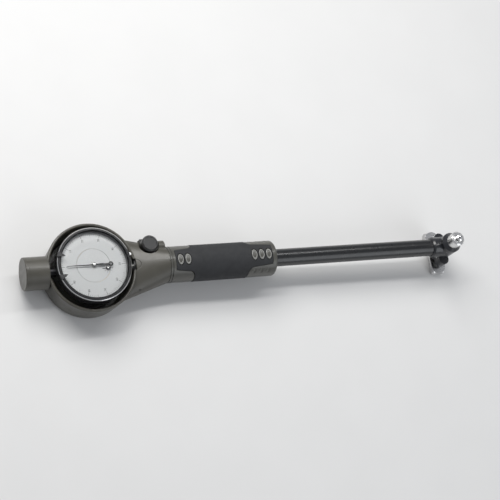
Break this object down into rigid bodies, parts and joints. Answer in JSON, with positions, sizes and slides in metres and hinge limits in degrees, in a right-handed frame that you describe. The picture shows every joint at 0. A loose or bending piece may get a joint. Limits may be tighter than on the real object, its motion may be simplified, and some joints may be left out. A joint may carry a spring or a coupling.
{
  "type": "dial bore gauge",
  "caption": "Dial indicator in a moulded cover on a two-material grip, with a long tube and a measuring head that has a centring guide.",
  "frame": {"origin": "centre of the cover's flat back, under the dial's centre", "axes": "+X along the gauge's axis towards the measuring head, +Z along the dial's normal, out of the dial"},
  "size_m": [0.3722, 0.0692, 0.0512],
  "materials": {
    "cover_front": "olive-grey moulded plastic, fine texture",
    "cover_back": "olive-grey moulded plastic, fine texture",
    "cover_screws": "blackened steel",
    "cap_plug": "olive-grey moulded plastic",
    "stem_clamp": "machined",
    "clamp_knob": "dark grey moulded",
    "clamp_screw": "machined",
    "grip_core": "olive-grey moulded plastic, fine texture",
    "grip_sleeve": "dark grey soft rubber",
    "tube": "satin black",
    "transfer_rod": "ground",
    "return_spring": "spring steel",
    "rod_bushes": "machined",
    "head_body": "satin black",
    "bell_crank": "hardened",
    "crank_pin": "ground",
    "contact_plunger": "ground",
    "contact_tip": "polished carbide",
    "plunger_bush": "machined",
    "anvil": "ground and plated",
    "anvil_tip": "polished carbide",
    "anvil_nut": "satin chrome",
    "anvil_washer": "ground",
    "centring_guide": "ground and polished shoes",
    "guide_screws": "machined",
    "guide_springs": "spring steel",
    "indicator_case": "satin",
    "indicator_lid": "satin",
    "lid_screws": "machined",
    "indicator_stem": "ground",
    "spindle_cap": "satin",
    "indicator_spindle": "ground",
    "contact_point": "ground",
    "movement_plate_lower": "satin",
    "movement_plate_upper": "satin",
    "movement_pillars": "turned",
    "rack_pinion": "hobbed",
    "rack_wheel": "hobbed",
    "centre_pinion": "hobbed",
    "hairspring_wheel": "hobbed",
    "dial_centre": "white, printed",
    "scale_ring": "white, printed",
    "bezel": "satin, knurled edge",
    "crystal": "clear",
    "pointer": "black",
    "counter_hand": "black",
    "limit_marker_left": "black",
    "limit_marker_right": "black",
    "bezel_clamp": "satin",
    "bezel_clamp_screw": "satin"
  },
  "bodies": {
    "frame": {"cover_front": "cover_front", "cover_back": "cover_back", "cover_screws": "cover_screws", "cap_plug": "cap_plug", "stem_clamp": "stem_clamp", "grip_core": "grip_core", "grip_sleeve": "grip_sleeve", "tube": "tube", "return_spring": "return_spring", "rod_bushes": "rod_bushes", "head_body": "head_body", "crank_pin": "crank_pin", "plunger_bush": "plunger_bush", "anvil": "anvil", "anvil_tip": "anvil_tip", "anvil_washer": "anvil_washer", "guide_screws": "guide_screws", "indicator_case": "indicator_case", "indicator_lid": "indicator_lid", "lid_screws": "lid_screws", "indicator_stem": "indicator_stem", "spindle_cap": "spindle_cap", "movement_plate_lower": "movement_plate_lower", "movement_plate_upper": "movement_plate_upper", "movement_pillars": "movement_pillars", "dial_centre": "dial_centre", "bezel_clamp": "bezel_clamp"},
    "clamp_knob": {"clamp_knob": "clamp_knob", "clamp_screw": "clamp_screw"},
    "transfer_rod": {"transfer_rod": "transfer_rod"},
    "bell_crank": {"bell_crank": "bell_crank"},
    "contact_plunger": {"contact_plunger": "contact_plunger", "contact_tip": "contact_tip"},
    "indicator_spindle": {"indicator_spindle": "indicator_spindle", "contact_point": "contact_point"},
    "rack_arbor": {"rack_pinion": "rack_pinion", "rack_wheel": "rack_wheel", "counter_hand": "counter_hand"},
    "centre_arbor": {"centre_pinion": "centre_pinion", "pointer": "pointer"},
    "hairspring_arbor": {"hairspring_wheel": "hairspring_wheel"},
    "bezel": {"bezel": "bezel", "crystal": "crystal", "scale_ring": "scale_ring"},
    "limit_marker_left": {"limit_marker_left": "limit_marker_left"},
    "limit_marker_right": {"limit_marker_right": "limit_marker_right"},
    "bezel_clamp_screw": {"bezel_clamp_screw": "bezel_clamp_screw"},
    "centring_guide": {"centring_guide": "centring_guide", "guide_springs": "guide_springs"},
    "anvil_nut": {"anvil_nut": "anvil_nut"}
  },
  "joints": [
    {"name": "rod_slide", "type": "slide", "parent": "frame", "child": "transfer_rod", "axis": [-1, 0, 0], "range_m": [0, 0.0012], "stiffness_N_per_m": 1000, "springref_m": -0.004, "deforming": ["return_spring"]},
    {"name": "plunger_slide", "type": "slide", "parent": "frame", "child": "contact_plunger", "axis": [0, 0, 1], "range_m": [0, 0.0012]},
    {"name": "crank_pivot", "type": "hinge", "parent": "frame", "child": "bell_crank", "pos_m": [0.3065, 0, 0.012], "axis": [0, -1, 0], "range_deg": [0, 11.5]},
    {"name": "spindle_slide", "type": "slide", "parent": "frame", "child": "indicator_spindle", "axis": [-1, 0, 0], "range_m": [0, 0.0012]},
    {"name": "rack_arbor_turn", "type": "hinge", "parent": "frame", "child": "rack_arbor", "pos_m": [0.01064, -0.0028, 0.025], "axis": [0, 0, 1], "range_deg": [0, 43.3]},
    {"name": "pointer_turn", "type": "hinge", "parent": "frame", "child": "centre_arbor", "pos_m": [0, 0, 0.025], "axis": [0, 0, -1], "range_deg": [0, 432.1]},
    {"name": "hairspring_turn", "type": "hinge", "parent": "frame", "child": "hairspring_arbor", "pos_m": [-0.01064, 0.0028, 0.025], "axis": [0, 0, 1], "range_deg": [0, 43.3]},
    {"name": "bezel_turn", "type": "hinge", "parent": "frame", "child": "bezel", "pos_m": [0, 0, 0.03], "axis": [0, 0, 1], "continuous": true},
    {"name": "left_marker_turn", "type": "hinge", "parent": "bezel", "child": "limit_marker_left", "pos_m": [0, 0, 0.03], "axis": [0, 0, 1], "range_deg": [-13, 90]},
    {"name": "right_marker_turn", "type": "hinge", "parent": "bezel", "child": "limit_marker_right", "pos_m": [0, 0, 0.03], "axis": [0, 0, 1], "range_deg": [-90, 13]},
    {"name": "bezel_clamp_turn", "type": "hinge", "parent": "frame", "child": "bezel_clamp_screw", "pos_m": [0.02916, 0.00727, 0.025], "axis": [0, 0, 1], "range_deg": [0, 180]},
    {"name": "knob_turn", "type": "hinge", "parent": "frame", "child": "clamp_knob", "pos_m": [0.0472, 0.0152, 0.024], "axis": [0, 0, 1], "range_deg": [0, 180]},
    {"name": "guide_slide", "type": "slide", "parent": "frame", "child": "centring_guide", "axis": [0, 0, 1], "range_m": [0, 0.0025], "stiffness_N_per_m": 800, "springref_m": -0.005, "deforming": ["guide_springs"]},
    {"name": "anvil_nut_turn", "type": "hinge", "parent": "frame", "child": "anvil_nut", "pos_m": [0.3125, 0, 0.038], "axis": [0, 0, 1], "range_deg": [0, 180]}
  ],
  "couplings": [
    {"joint": "plunger_slide", "follows": "rod_slide", "ratio": 1},
    {"joint": "crank_pivot", "follows": "rod_slide", "rad_per_m": 166.67},
    {"joint": "spindle_slide", "follows": "rod_slide", "ratio": 1},
    {"joint": "rack_arbor_turn", "follows": "rod_slide", "rad_per_m": 628.32},
    {"joint": "pointer_turn", "follows": "rod_slide", "rad_per_m": 6283.2},
    {"joint": "hairspring_turn", "follows": "rod_slide", "rad_per_m": 628.32}
  ]
}
